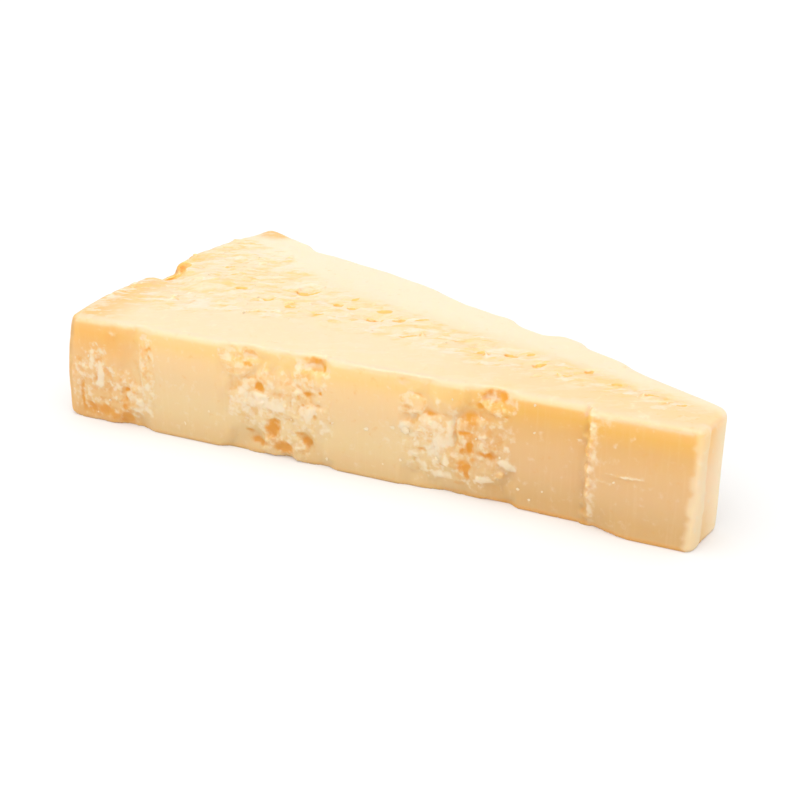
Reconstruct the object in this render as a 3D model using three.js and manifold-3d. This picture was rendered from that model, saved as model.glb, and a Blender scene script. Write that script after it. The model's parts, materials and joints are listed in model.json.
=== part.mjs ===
// A wedge of hard, long-aged grana cheese, lying on one of its two large triangular cut faces.
// The wedge was opened with a short knife: smooth strips that the blade cut alternate with
// crumbly zones where the paste split on its own.
// Millimetres, +Z up. X runs from the rind to the tip and the long front face looks along -Y.
// Shapes are first laid out from the front corner of the rind, and the whole wedge is then moved
// so that the origin lies under the middle of its bounding box.
import * as THREE from "three";
import { mergeVertices } from "three/addons/utils/BufferGeometryUtils.js";
import Module from "manifold-3d";

// Driving dimensions
const thickness = 30;
const rimRadius = 215; // the curve of the wheel's rim
const frontLength = 168; // along the front face, from the rind to the cut tip
const rindWidth = 90.8; // across the wedge at the back corner of the rind
const rindCornerX = 9.3; // how far along the back corner of the rind lies
const wedgeTaper = 0.5; // how fast the back face closes on the front face
const rimFarthestY = 27; // where the round rim reaches farthest out
const rimReach = 1.9;
const rimBelly = 4.4; // the rim leans out this far towards its foot
const tipSlant = 0.2; // the cut across the tip isn't quite square to the front face
const edgeRadius = 1.8;
const buried = 1.1; // the block's lower edge is cut off by this much, which leaves a crisp foot
const wornMargin = 6; // the top face falls away softly this far in from the front face
const wornDrop = 0.45;

// Across the front face: the zones that split, from the rind to the tip
const frontSplits = [
  { from: -9, to: 23.4, deep: 0.8, lump: 1.1 },
  { from: 46.5, to: 75, deep: 1.3, lump: 1.5 },
  { from: 97.5, to: 123, deep: 1.2, lump: 1.6 },
];
// Patches of cut surface left inside those zones, as [middle x, middle z, half width, half height]
const cutPatches = [[3, 26, 9, 8], [107.5, 27.5, 4.6, 6]];
// The last strip of the front face stands proud of the one before it
const stepX = 142;
const stepTop = 2.3;
const stepFoot = 3.3;
// The back face split in places too
const backSplits = [
  { from: 24, to: 46, deep: 0.8, lump: 1.1 },
  { from: 82, to: 99, deep: 0.9, lump: 1.3 },
  { from: 108, to: 119, deep: 0.8, lump: 1.2 },
];

// Along the back face: how far each stretch bulges past the straight line, as [x, bulge]
const backBulges = [
  [9, 0.3], [27, 0.1], [32, -2], [44, 0.3], [64, 2.6], [76, 3.3], [86, 2.7], [91, 2], [100, 2.4],
  [107, 3.4], [110.5, 1.8], [116.5, 1.7], [124, 5.3], [128, 5.4], [131, 3.7], [140, 3.7],
  [146, 2], [150, 1.6], [166, 1.4], [170, 0.8],
];
// Along the rim: how far each stretch is pressed in from the true arc, as [y, inwards]
const rimDents = [
  [0, 0], [14, 0], [23, 1.2], [29, 1.2], [38, 0.5], [52, 0.6], [58, -0.6], [66, -0.8], [80, -0.3],
];

// Hollows where a lump of paste broke out, as [along, height or across, radius, depth]
const frontHollows = [
  [16.5, 0.5, 5.5, 2.1], [14.6, 10.5, 2.4, 1.2], [22.4, 20.5, 2.0, 1.0], [1.5, 7.5, 2.0, 0.7],
  [55.6, 18.6, 2.2, 1.6], [60.0, 9.5, 2.8, 1.7], [62.5, 1.5, 4.0, 1.6], [69.1, 6.0, 2.4, 1.6],
  [70.5, 19.5, 1.8, 1.1], [74.3, 27.2, 2.4, 1.3], [95.5, 28.6, 3.0, 1.5],
  [113.0, 20.0, 4.6, 1.9], [112.0, 12.0, 2.8, 1.7], [118.5, 11.5, 2.2, 1.3],
  [117.5, 26.3, 2.6, 2.0], [102.5, 20.0, 2.0, 1.2], [102.0, 10.0, 1.8, 1.1],
];
const topHollows = [
  [47.5, 42.6, 3.2, 1.4], [29.6, 37.1, 1.8, 0.9], [41.0, 31.8, 1.6, 0.8], [49.5, 30.0, 2.6, 1.0],
  [58.5, 28.0, 2.0, 0.8], [60.5, 36.6, 2.0, 1.0], [65.5, 35.4, 1.6, 0.9], [74.0, 31.0, 2.8, 1.2],
  [81.5, 31.0, 1.8, 0.9], [87.2, 23.0, 2.4, 0.9], [107.3, 20.2, 1.6, 0.9], [115.2, 21.6, 2.4, 1.2],
  [123.8, 17.3, 2.0, 0.9], [132.0, 14.8, 1.8, 0.8], [135.6, 18.4, 1.8, 1.0], [147.2, 13.6, 2.0, 1.0],
  [157.0, 10.4, 1.6, 0.7],
];
// Half the width of the top face's crumbly band, as a share of the wedge's width there
const bandAtRind = 0.3;
const bandAlong = 0.15;
// A chip out of the rind's upper edge: it deepens towards a steep little wall
const chipFromY = 36;
const chipWallY = 47.8;
const chipSkew = 0.75; // the wall comes this much closer to the front face for each mm inwards
const chipInto = 10; // how far it reaches in from the rind
const chipDepth = 2.9;

// Grid spacing
const filletStep = 0.45 * edgeRadius; // one more stop part of the way round each rounded edge
const splitStep = 1.65;
const smoothStep = 2.7;
const layerStep = 2.15;
const insideRows = 16; // across the wedge, between its rounded edges
const rows = insideRows + 4;
const middleCrowding = 0.5; // how strongly the rows crowd towards the middle of the top face
const chipCrowding = 0.6; // and towards the chip's wall

const clamp = THREE.MathUtils.clamp;
const lerp = THREE.MathUtils.lerp;
const ramp = (value, low, high) => THREE.MathUtils.smoothstep(value, low, high);

// A repeatable random number from 0 to 1 for a lattice point
function draw(i, j, k, channel = 0) {
  let h = Math.imul(i, 374761393) ^ Math.imul(j, 668265263) ^ Math.imul(k, 2147483647);
  h = Math.imul(h ^ (channel * 1274126177), 1103515245);
  h = Math.imul(h ^ (h >>> 15), 2246822519);
  return ((h ^ (h >>> 13)) >>> 0) / 4294967296;
}

// Smooth noise from -1 to 1 whose bumps are about size across
function bumps(x, y, z, size, channel = 0) {
  const at = [x / size, y / size, z / size];
  const cell = at.map(Math.floor);
  const part = at.map((value, axis) => value - cell[axis]);
  const ease = part.map((value) => value * value * (3 - 2 * value));
  let sum = 0;
  for (let corner = 0; corner < 8; corner++) {
    const step = [corner & 1, (corner >> 1) & 1, corner >> 2];
    let weight = 1;
    step.forEach((side, axis) => {
      weight *= side ? ease[axis] : 1 - ease[axis];
    });
    sum += weight * draw(cell[0] + step[0], cell[1] + step[1], cell[2] + step[2], channel);
  }
  return 2 * sum - 1;
}

// Rounded lumps with creases between them: 1 on a lump's top, falling to 0 or below in a crease
function lumps(x, y, z, size, channel = 0) {
  const at = [x / size, y / size, z / size];
  const cell = at.map(Math.floor);
  let nearest = 9;
  for (let n = 0; n < 27; n++) {
    const i = cell[0] + (n % 3) - 1;
    const j = cell[1] + (Math.floor(n / 3) % 3) - 1;
    const k = cell[2] + Math.floor(n / 9) - 1;
    const gap = Math.hypot(
      i + draw(i, j, k, channel + 1) - at[0],
      j + draw(i, j, k, channel + 2) - at[1],
      k + draw(i, j, k, channel + 3) - at[2],
    );
    nearest = Math.min(nearest, gap);
  }
  return 1 - (nearest / 0.8) ** 1.5;
}

// 1 inside a zone, 0 outside, with a ragged border
function zoneShare(x, across, zone) {
  const ragged = 1.3 * bumps(x, across, 5, 4.5, 11);
  const soft = 1.6;
  return ramp(x + ragged, zone.from - soft / 2, zone.from + soft / 2)
    * (1 - ramp(x + ragged, zone.to - soft / 2, zone.to + soft / 2));
}

// How far the broken paste lies below the cut surface: broad waves, lumps, and less near the borders
function splitRelief(x, y, z, zone) {
  const waves = 0.5 * zone.lump * bumps(x, y, z, 9, 21);
  const grains = zone.lump * (lumps(x, y, z, 5.2, 31) - 0.35);
  return -zone.deep + waves + grains;
}

function hollowRelief(along, across, hollows) {
  let relief = 0;
  for (const [centreA, centreB, radius, depth] of hollows) {
    const gap = Math.hypot(along - centreA, across - centreB) / radius;
    relief -= depth * (1 - ramp(gap, 0.25, 1.25));
  }
  return relief;
}

// 1 where a patch of cut surface was left, 0 elsewhere
function patchShare(x, z) {
  let share = 0;
  for (const [middleX, middleZ, halfWidth, halfHeight] of cutPatches) {
    const sideways = 1 - ramp(Math.abs(x - middleX) / halfWidth, 0.75, 1.15);
    const upright = 1 - ramp(Math.abs(z - middleZ) / halfHeight, 0.75, 1.15);
    share = Math.max(share, sideways * upright);
  }
  return share;
}

function frontRelief(x, z) {
  let relief = 0.12 * bumps(x, 0, z, 14, 41);
  for (const zone of frontSplits) {
    const share = zoneShare(x, z, zone) * (1 - patchShare(x, z));
    relief += share * splitRelief(x, 0, z, zone);
  }
  return relief + hollowRelief(x, z, frontHollows);
}

function backRelief(x, z) {
  let relief = 0.15 * bumps(x, 80, z, 14, 42);
  for (const zone of backSplits) {
    relief += zoneShare(x, z, zone) * splitRelief(x, 80, z, zone);
  }
  return relief;
}

// The crumbly band along the middle of the top face, widening to the whole width at the rind
function bandShare(x, y) {
  const width = backY(x);
  const halfWidth = lerp(bandAtRind, bandAlong, clamp((x - 25) / 30, 0, 1)) * width;
  const ragged = 2 * bumps(x, y, 3, 6, 51);
  const band = 1 - ramp(Math.abs(y - 0.5 * width) + ragged, halfWidth - 2, halfWidth + 2.5);
  return band * ramp(frontLength - x, 3, 12);
}

function chipRelief(x, y) {
  const across = y + chipSkew * x;
  const intoWedge = 1 - ramp(x + 0.6 * (y - chipWallY), -1, chipInto);
  const slope = clamp((across - chipFromY) / (chipWallY - chipFromY), 0, 1);
  const wall = 1 - ramp(across, chipWallY, chipWallY + 1.2);
  return -chipDepth * intoWedge * slope * wall;
}

function topRelief(x, y) {
  const worn = -wornDrop * (1 - ramp(y, 0, wornMargin));
  const band = bandShare(x, y) * (0.55 * (lumps(x, y, 0, 4.6, 61) - 0.45) + 0.35 * bumps(x, y, 0, 8, 62));
  const scraped = 0.3 * (1 - ramp(x, 12, 34)) * bumps(x, y, 0, 3.6, 63);
  return worn + band + scraped + hollowRelief(x, y, topHollows) + chipRelief(x, y);
}

function rindRelief(y, z) {
  return rimBelly * (1 - (z / thickness) ** 3) + 0.25 * bumps(0, y, z, 7, 71);
}

// The value that a list of [place, value] stops gives at one place, eased from stop to stop
function easedAlong(stops, place) {
  const next = stops.findIndex(([stop]) => stop >= place);
  if (next === -1) return stops.at(-1)[1];
  if (next === 0) return stops[0][1];
  const [fromPlace, from] = stops[next - 1];
  const [toPlace, to] = stops[next];
  return lerp(from, to, ramp(place, fromPlace, toPlace));
}

const backSlope = Math.hypot(1, wedgeTaper); // turns a bulge square to the back face into a shift along Y
const straightWidth = (x) => rindWidth - wedgeTaper * (x - rindCornerX);
const backY = (x) => straightWidth(x) + backSlope * easedAlong(backBulges, x);

function frontY(x, z) {
  const ragged = 0.35 * bumps(0, 0, z, 2.3, 81);
  const swell = lerp(stepTop, stepFoot, 1 - z / thickness);
  // The foot of the proud strip is rounded off on its rind side
  const footRound = 1 - (1 - ramp(z, 0, 9)) * (1 - ramp(x, stepX, stepX + 11));
  return -swell * footRound * ramp(x + ragged, stepX - 0.35, stepX + 0.35);
}

const rimX = (y) => (y - rimFarthestY) ** 2 / (2 * rimRadius) - rimReach + easedAlong(rimDents, y);

// Stops along the wedge: close together where the front face split, wider where it was cut
function lengthStops() {
  const stops = [0, filletStep, edgeRadius];
  const borders = [...frontSplits.flatMap((zone) => [zone.from, zone.to]), stepX - 0.5, stepX + 0.5];
  const marks = [edgeRadius, ...borders.filter((x) => x > edgeRadius), frontLength - edgeRadius];
  for (let n = 1; n < marks.length; n++) {
    const middle = (marks[n - 1] + marks[n]) / 2;
    const split = frontSplits.some((zone) => middle > zone.from && middle < zone.to);
    const pieces = Math.max(1, Math.round((marks[n] - marks[n - 1]) / (split ? splitStep : smoothStep)));
    for (let piece = 1; piece <= pieces; piece++) {
      stops.push(lerp(marks[n - 1], marks[n], piece / pieces));
    }
  }
  return [...stops, frontLength - filletStep, frontLength];
}

function heightStops() {
  const height = thickness + buried;
  const inside = Math.round((height - 2 * edgeRadius) / layerStep);
  const stops = [0, edgeRadius];
  for (let layer = 1; layer <= inside; layer++) {
    stops.push(lerp(edgeRadius, height - edgeRadius, layer / inside));
  }
  return [...stops, height - filletStep, height];
}

// Distance from the front face of one row, on a wedge of that width
function rowStop(row, width) {
  const edge = [0, filletStep];
  if (row < 2) return edge[row];
  if (row > rows - 2) return width - edge[rows - row];
  const share = (row - 2) / insideRows;
  const crowded = share + (middleCrowding * Math.sin(2 * Math.PI * share)) / (2 * Math.PI);
  return lerp(edgeRadius, width - edgeRadius, crowded);
}

// Rounds the edges of a straight block, and gives the rounded point with the way its surface faces
function roundedPoint(point, size) {
  const core = new THREE.Vector3(
    clamp(point.x, edgeRadius, size.x - edgeRadius),
    clamp(point.y, edgeRadius, size.y - edgeRadius),
    clamp(point.z, edgeRadius, size.z - edgeRadius),
  );
  const outwards = point.clone().sub(core).normalize();
  return { at: core.addScaledVector(outwards, edgeRadius), outwards };
}

// Where a point of the straight block lands in plan: the rind end is bent to the wheel's round rim,
// the tip end is slanted, the rows spread from the front face to the back face, and close in on
// the steep wall of the chip
function planPoint(straightX, share, z) {
  const fromRind = (1 - clamp(straightX / 60, 0, 1)) ** 2;
  const fromTip = clamp((straightX - frontLength + 20) / 20, 0, 1) ** 2;
  let x = straightX;
  let y = 0;
  for (let pass = 0; pass < 6; pass++) {
    y = lerp(frontY(x, z), backY(x), share);
    x = straightX + rimX(y) * fromRind + tipSlant * y * fromTip;
  }
  const nearChip = Math.exp(-(((y - chipWallY) / 5) ** 2)) * (1 - ramp(x, chipInto - 2, chipInto + 6));
  return [x, y - chipCrowding * nearChip * (y + chipSkew * x - chipWallY - 0.6)];
}

// Bends a point of the straight block into the wedge and adds the relief of the faces it belongs to
function wedgePoint(point, size) {
  const { at, outwards } = roundedPoint(point, size);
  at.z -= buried;
  const faces = {
    front: Math.max(0, -outwards.y) ** 2,
    back: Math.max(0, outwards.y) ** 2,
    top: Math.max(0, outwards.z) ** 2,
    rind: Math.max(0, -outwards.x) ** 2,
    tip: Math.max(0, outwards.x) ** 2,
  };
  const [x, y] = planPoint(at.x, at.y / size.y, at.z);
  return new THREE.Vector3(
    x - faces.rind * rindRelief(y, at.z) + faces.tip * 0.2 * bumps(170, y, at.z, 6, 91),
    y - faces.front * frontRelief(x, at.z) + faces.back * backRelief(x, at.z),
    at.z + faces.top * topRelief(x, y),
  );
}

function wedgeGeometry() {
  const along = lengthStops();
  const up = heightStops();
  const counts = new THREE.Vector3(along.length - 1, rows, up.length - 1);
  const block = new THREE.BoxGeometry(...counts, ...counts);
  block.deleteAttribute("normal");
  block.deleteAttribute("uv");
  const geometry = mergeVertices(block);
  const places = geometry.getAttribute("position");
  for (let n = 0; n < places.count; n++) {
    const [i, j, k] = [places.getX(n), places.getY(n), places.getZ(n)]
      .map((value, axis) => Math.round(value + counts.getComponent(axis) / 2));
    const width = straightWidth(along[i]);
    const size = new THREE.Vector3(frontLength, width, thickness + buried);
    const point = wedgePoint(new THREE.Vector3(along[i], rowStop(j, width), up[k]), size);
    places.setXYZ(n, point.x, point.y, point.z);
  }
  return geometry;
}

const wasm = await Module();
wasm.setup();

function solidOf(geometry) {
  return new wasm.Manifold(new wasm.Mesh({
    numProp: 3,
    vertProperties: new Float32Array(geometry.getAttribute("position").array),
    triVerts: new Uint32Array(geometry.index.array),
  }));
}

// The underside is trimmed to one flat face, so that the wedge rests without rocking
function trimmedFlat(geometry) {
  const reach = 400;
  const blank = new THREE.BoxGeometry(reach, reach, reach);
  blank.deleteAttribute("normal");
  blank.deleteAttribute("uv");
  const above = mergeVertices(blank).translate(0, 0, reach / 2);
  const mesh = solidOf(geometry).intersect(solidOf(above)).getMesh();
  const trimmed = new THREE.BufferGeometry();
  trimmed.setAttribute("position", new THREE.BufferAttribute(mesh.vertProperties, 3));
  trimmed.setIndex(new THREE.BufferAttribute(mesh.triVerts, 1));
  trimmed.computeBoundingBox();
  const { min, max } = trimmed.boundingBox;
  trimmed.translate(-(min.x + max.x) / 2, -(min.y + max.y) / 2, -min.z);
  trimmed.computeVertexNormals();
  return trimmed;
}

const agedPaste = new THREE.MeshStandardMaterial({ color: "#f6dca6", roughness: 0.55, metalness: 0 });

const wedge = new THREE.Mesh(trimmedFlat(wedgeGeometry()), agedPaste);
wedge.name = "cheese_wedge";

const cheese = new THREE.Group();
cheese.add(wedge);

export default cheese;
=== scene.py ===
import json
import math
import random

import bpy
import numpy as np
from mathutils import Euler, Matrix, Vector

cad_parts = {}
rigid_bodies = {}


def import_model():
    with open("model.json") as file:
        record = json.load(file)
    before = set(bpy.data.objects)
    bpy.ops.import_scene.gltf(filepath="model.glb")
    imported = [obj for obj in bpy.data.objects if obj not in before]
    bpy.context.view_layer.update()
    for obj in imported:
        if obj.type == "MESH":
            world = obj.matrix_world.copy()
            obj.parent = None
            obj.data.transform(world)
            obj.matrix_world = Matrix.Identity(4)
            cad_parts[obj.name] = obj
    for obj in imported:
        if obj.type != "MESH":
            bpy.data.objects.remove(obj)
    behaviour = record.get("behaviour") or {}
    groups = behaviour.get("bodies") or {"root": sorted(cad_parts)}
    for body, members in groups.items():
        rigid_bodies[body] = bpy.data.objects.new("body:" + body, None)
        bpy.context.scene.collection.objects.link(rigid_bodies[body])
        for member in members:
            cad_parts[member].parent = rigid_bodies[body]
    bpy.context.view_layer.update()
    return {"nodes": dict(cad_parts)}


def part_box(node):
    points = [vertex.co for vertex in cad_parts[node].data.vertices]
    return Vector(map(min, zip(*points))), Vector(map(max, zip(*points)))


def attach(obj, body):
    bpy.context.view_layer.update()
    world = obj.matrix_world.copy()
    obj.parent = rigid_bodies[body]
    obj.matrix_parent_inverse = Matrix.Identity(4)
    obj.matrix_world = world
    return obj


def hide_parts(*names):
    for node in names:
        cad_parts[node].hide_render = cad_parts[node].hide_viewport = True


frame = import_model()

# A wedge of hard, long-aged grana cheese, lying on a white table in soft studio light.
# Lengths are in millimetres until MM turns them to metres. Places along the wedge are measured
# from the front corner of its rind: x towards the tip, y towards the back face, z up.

MM = 0.001
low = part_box("cheese_wedge")[0]
RIM_OVERHANG = 5.72  # how far the belly of the rim reaches past that corner
STEP_OVERHANG = 3.37  # how far the proud last strip reaches past the front face
corner = Vector((low.x + RIM_OVERHANG * MM, low.y + STEP_OVERHANG * MM, low.z))

# The wedge's plan
THICKNESS = 30.0
FRONT_LENGTH = 168.0
RIND_WIDTH = 90.8
RIND_CORNER_X = 9.3  # x of the rind's back corner
BACK_CORNER = (12.0, 88.0)  # x and y of a place just inside it
TAPER = 0.5  # how fast the wedge narrows along x
BACK_WAY = (0.447, 0.894)  # x and y of the way that the back face looks
RIM_RADIUS = 215.0
RIM_FARTHEST_Y = 27.0
RIM_REACH = 1.9  # how far the rim's upper edge goes past the front corner there
RIM_BELLY = 4.4  # how much farther out its foot is
STEP_X = 142.0  # where the last strip of the front face begins
STEP_OUT = 2.8  # how far it stands out

# How far into the wedge a face still has its marks, and where they have ended
FRONT_SKIN = (3.5, 5.5)
TOP_SKIN = (3.0, 4.5)
# How far under the top edge a side face has none, and where it has all of them
UNDER_TOP = (0.2, 1.4)

# The chip in the rind's upper edge and the worn place beside it, as (x, y, half length, half width)
CHIP = (5.0, 47.0, 9.0, 8.0)
BESIDE_CHIP = (3.0, 54.0, 7.0, 7.0)
CHIP_DEEPER = 2.2
# A hollow that reaches the front's upper edge, as (x, z, half width, half height)
EDGE_HOLLOW = (93.0, 28.5, 13.0, 5.5)
# How much of the depth of that hollow and of the front splits is filled, and down to what depth
FILLED_SHARE = 0.8
FILLED_DEPTH = 4.0

# Zones where the paste split instead of being cut, as (x, z, half width, half height)
FRONT_SPLITS = [
    (9, 8.5, 14, 9.5), (22.5, 18, 2.8, 10), (6, 16, 5, 6),
    (60, 14, 14.5, 10.5), (50.5, 25, 6, 5), (70.5, 24, 5.5, 6), (63, 4.5, 8, 5),
    (102.5, 12.5, 8, 9.5), (115.5, 13.5, 8, 12), (119.5, 26, 5, 4), (98, 22, 4, 3.5),
]
BACK_SPLITS = [(35, 14, 11.5, 15), (90.5, 15, 9, 15), (113.5, 13, 6, 13)]

# Soft lumps and hollows of the front face, as (x, z, half width, half height, how far out)
FRONT_FORMS = [
    # Broad and shallow
    (7.5, 3, 10, 2.4, -0.75), (14.8, 6, 1.8, 5, -0.4), (2, 16, 3.5, 5, -0.3), (9.5, 10, 3, 3, 0.3),
    (21.5, 7.5, 3, 5, 0.4), (57, 15.5, 7.5, 3.2, 0.35), (50.5, 12, 4, 5, 0.3),
    (69.8, 13.5, 1.6, 3, 0.5), (74, 12, 2, 3.5, 0.3), (67.2, 24.5, 1.5, 1.9, 0.4),
    (70, 20, 4.5, 2.5, -0.35), (67.8, 17, 1.6, 4, -0.3), (59, 7.2, 3.2, 3.8, -0.5),
    (62.5, 3.5, 3.5, 2.8, -0.5), (53.5, 4.5, 4, 1.8, -0.35), (69, 6, 3, 2.4, -0.4),
    (56, 19.5, 2.8, 1.9, -0.4), (53, 25, 3.2, 1.6, -0.2), (73.5, 27, 3.2, 2, -0.25),
    (113.5, 21, 3.6, 4, -0.25), (112, 15, 2.8, 5.5, -0.35), (117.5, 15, 4, 1.6, -0.3),
    (116.5, 24, 4, 1.8, -0.12), (112, 7, 2.6, 5, -0.3), (118, 10.5, 3.2, 1.6, -0.35),
    (102.5, 22.5, 2, 2.6, -0.2), (121.5, 27.5, 2.4, 1.8, -0.25), (102.5, 14.5, 5.5, 4.5, 0.3),
    (103.5, 4.8, 4.5, 2, 0.35), (116, 5.3, 3.4, 1.6, 0.35), (121.8, 9.5, 2.8, 2, 0.4),
    (122, 18, 2.4, 4, 0.25), (108.4, 20.5, 1, 4.5, 0.4), (105, 8.5, 1.5, 3, 0.25),
    (103, 9, 6, 3, 0.2),
    # Small, in the zone by the rind
    (5.5, 18, 1, 2.5, 0.7), (7.7, 14.5, 1.2, 3.5, 0.9), (7, 11, 1.5, 1.5, 0.7),
    (3, 15.5, 1.5, 0.7, 0.6), (22.5, 13, 1.2, 1, 0.7), (22, 17.5, 0.8, 0.8, 0.5),
    (12.5, 26, 0.9, 1, 0.4), (19.5, 8, 1, 1, 0.5), (22.5, 6, 1, 1.2, 0.6), (0.9, 7, 0.8, 4, -1.1),
    (16, 10.8, 1, 0.8, -1.2), (18, 10.5, 1.5, 0.7, -0.7), (14.3, 13.5, 0.8, 0.8, -0.6),
    (15.2, 8.5, 0.9, 0.8, -0.9), (14.5, 5.8, 0.8, 0.8, -0.8), (14.7, 1.9, 1.5, 1.6, -1.2),
    (18.5, 5, 1.8, 3, 0.5), (8.5, 4.3, 2, 1.1, -0.9), (4, 3.7, 1.5, 1.5, -0.8),
    (23.4, 24, 1, 1, -0.9), (23.5, 20.8, 1.2, 1.1, -0.9), (22, 26.5, 0.9, 1, -0.6),
    (19, 17.5, 0.8, 1, -0.4), (11.5, 2.5, 1.5, 0.8, -0.5),
    # Small, in the middle zone
    (56.5, 16.8, 2.3, 0.9, 1.0), (58, 14.5, 2.5, 1.3, 0.7), (62, 14, 2.5, 1.3, 0.7),
    (54, 14.5, 2, 1.5, 0.5), (68, 26.5, 1.5, 1.4, 0.6), (67, 21.5, 1.5, 1.5, 0.7),
    (71, 15, 1.5, 1.5, 0.9), (73, 18, 1, 0.6, 0.6), (67, 4, 2, 1, 0.6), (74, 10, 1, 1, 0.5),
    (51, 17, 1, 1, 0.6), (48, 25.5, 1.5, 1, 0.5), (76.8, 10, 0.6, 1.2, 0.5),
    (53, 24.5, 1.4, 0.8, -0.7), (56.2, 19, 1.3, 1.2, -1.3), (70, 19.4, 1, 0.6, -1.0),
    (73.6, 20, 0.6, 0.5, -1.0), (73, 16.6, 0.9, 0.5, -0.8), (68.7, 16, 0.7, 0.6, -0.8),
    (68.5, 12.3, 0.6, 1, -0.7), (72, 13.6, 0.9, 0.6, -0.7), (76.3, 12.8, 0.7, 0.3, -0.7),
    (52.3, 6, 1.3, 0.8, -0.9), (59.5, 8, 1.9, 2.5, -1.0), (60.7, 10.3, 0.9, 0.6, -0.8),
    (55, 3.2, 2.4, 0.8, -1.0), (62.8, 3.3, 2.3, 1.7, -1.3), (67, 8, 2.3, 0.8, -0.8),
    (69.4, 6.3, 1.1, 1.3, -1.0), (72, 28, 3, 1.2, -0.8), (74.6, 26.4, 0.6, 0.7, -1.0),
    (49, 28, 1.5, 0.8, -0.5),
    # Small, in the last zone
    (96.2, 16, 1.2, 1.4, 1.0), (98, 19, 1, 0.9, 0.7), (103, 17.5, 2, 1.2, 0.7),
    (106, 13.5, 2.5, 2, 0.7), (108, 16.5, 0.9, 3.5, 0.7), (107.3, 9, 0.8, 1.3, 1.0),
    (99, 9.5, 1, 0.8, 0.6), (101, 6.8, 1.5, 1, 0.5), (106, 5, 2.5, 1, 0.6),
    (121.5, 11.2, 1.5, 1.1, 1.0), (123.5, 10.5, 1.5, 1.3, 1.0), (116.7, 6, 2.3, 1.1, 0.8),
    (117, 17, 1.5, 0.8, 0.7), (122, 15, 0.8, 0.8, 0.7), (105, 23.5, 0.7, 1.6, 0.6),
    (118, 26.5, 1.3, 1.8, 0.6), (109.5, 22, 0.8, 2.5, 0.6), (97, 21, 1.5, 1.5, -0.6),
    (103.3, 20.2, 1.6, 0.7, -0.9), (106, 18.5, 0.6, 0.8, -0.6), (121, 27.3, 1.2, 1.3, -1.3),
    (124, 27, 1.5, 0.9, -0.5), (115.3, 24.4, 0.9, 0.7, -1.1), (113, 20.5, 2.5, 2.6, -0.6),
    (111.5, 16.8, 1.9, 0.5, -0.9), (113, 13.3, 1.1, 1.4, -1.3), (111, 12.3, 0.9, 1.1, -0.8),
    (117.5, 12.3, 2.1, 0.8, -1.2), (112.5, 7.3, 0.8, 2.1, -1.4), (111, 8, 1.2, 1.4, -0.8),
    (106, 7.6, 0.8, 0.7, -1.0), (101, 11, 1.8, 0.6, -0.9), (118.8, 23.2, 0.7, 0.5, -0.8),
    (121.8, 23, 0.8, 0.4, -0.7), (110, 3.3, 1.2, 0.7, -0.7), (118, 4.3, 1.8, 0.8, -0.6),
    (96, 28, 2, 0.8, -0.5), (100.2, 4.2, 0.7, 0.7, -0.6),
    # Folds of the last strips
    (151, 15.4, 5.2, 0.35, 0.6), (150, 14.6, 5, 0.35, -0.4), (145.5, 13.2, 1.2, 0.5, 0.4),
    (139.5, 21, 1, 0.4, 0.5),
]
MOST_FORMS = (-1.5, 1.2)  # how deep and how high they get where they meet
# How much of a lump and of a hollow is modelled; the material paints the rest as a pale highlight
# on the lumps and orange shade in the hollows
LUMP_SHARE = 0.45
HOLLOW_SHARE = 0.3

# Slots between the flakes of the top face, as (x, y, half length, half width)
TOP_SLOTS = [
    (47.5, 42.6, 3.6, 0.8), (29.6, 37, 1.6, 0.7), (41, 31.8, 1.3, 0.8), (49, 30, 1.4, 0.7),
    (59, 27.7, 1.2, 0.6), (60, 36.4, 1.3, 0.9), (62.5, 41.7, 0.9, 0.6), (65.2, 35.4, 1.6, 0.7),
    (73.7, 30.4, 2.2, 0.8), (74.3, 35.7, 1.8, 1.0), (80.3, 31.7, 1.6, 0.8), (87, 22.4, 2.0, 0.6),
    (86, 33.2, 1.8, 0.7), (107.3, 19.7, 1.2, 0.7), (115.2, 21.6, 1.8, 1.0), (119.5, 23, 0.9, 0.6),
    (123.6, 17.3, 1.5, 0.8), (131.7, 14, 1.2, 0.7), (135.4, 19, 1.0, 0.6), (143.7, 13.6, 1.2, 0.6),
    (152.8, 10.2, 1.4, 0.6), (160, 8, 1.0, 0.6), (17, 52, 1.5, 0.7), (22, 46, 1.1, 0.6),
]
GRAIN_TURN = math.radians(25.0)  # which way the flakes and slots of the top face lie
GRAIN = (math.cos(GRAIN_TURN), math.sin(GRAIN_TURN), 0.0)
# Half width of the crumbly band along the top face, as a share of the wedge's width: by the rind,
# and from the last of these places on
BAND_BY_RIND = 0.35
BAND_BEYOND = 0.18
BAND_NARROWS = (25.0, 55.0)

# Loose crumbs that stuck to the cut strips of the front face, as (x, z, radius)
STUCK_CRUMBS = [
    (96.3, 15, 1.0), (92, 15, 0.6), (85.7, 14, 0.8), (95.4, 7, 0.4), (75, 2.7, 0.5),
    (76.7, 13, 0.45), (33, 4.8, 0.35), (40.7, 9, 0.35), (128, 27.3, 0.35), (129.2, 20.3, 0.3),
    (125.6, 5.4, 0.45), (130.5, 6, 0.4), (128.2, 3.8, 0.35), (91.4, 5, 0.35), (148.8, 12, 0.35),
    (108.6, 25, 0.3),
]
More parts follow.
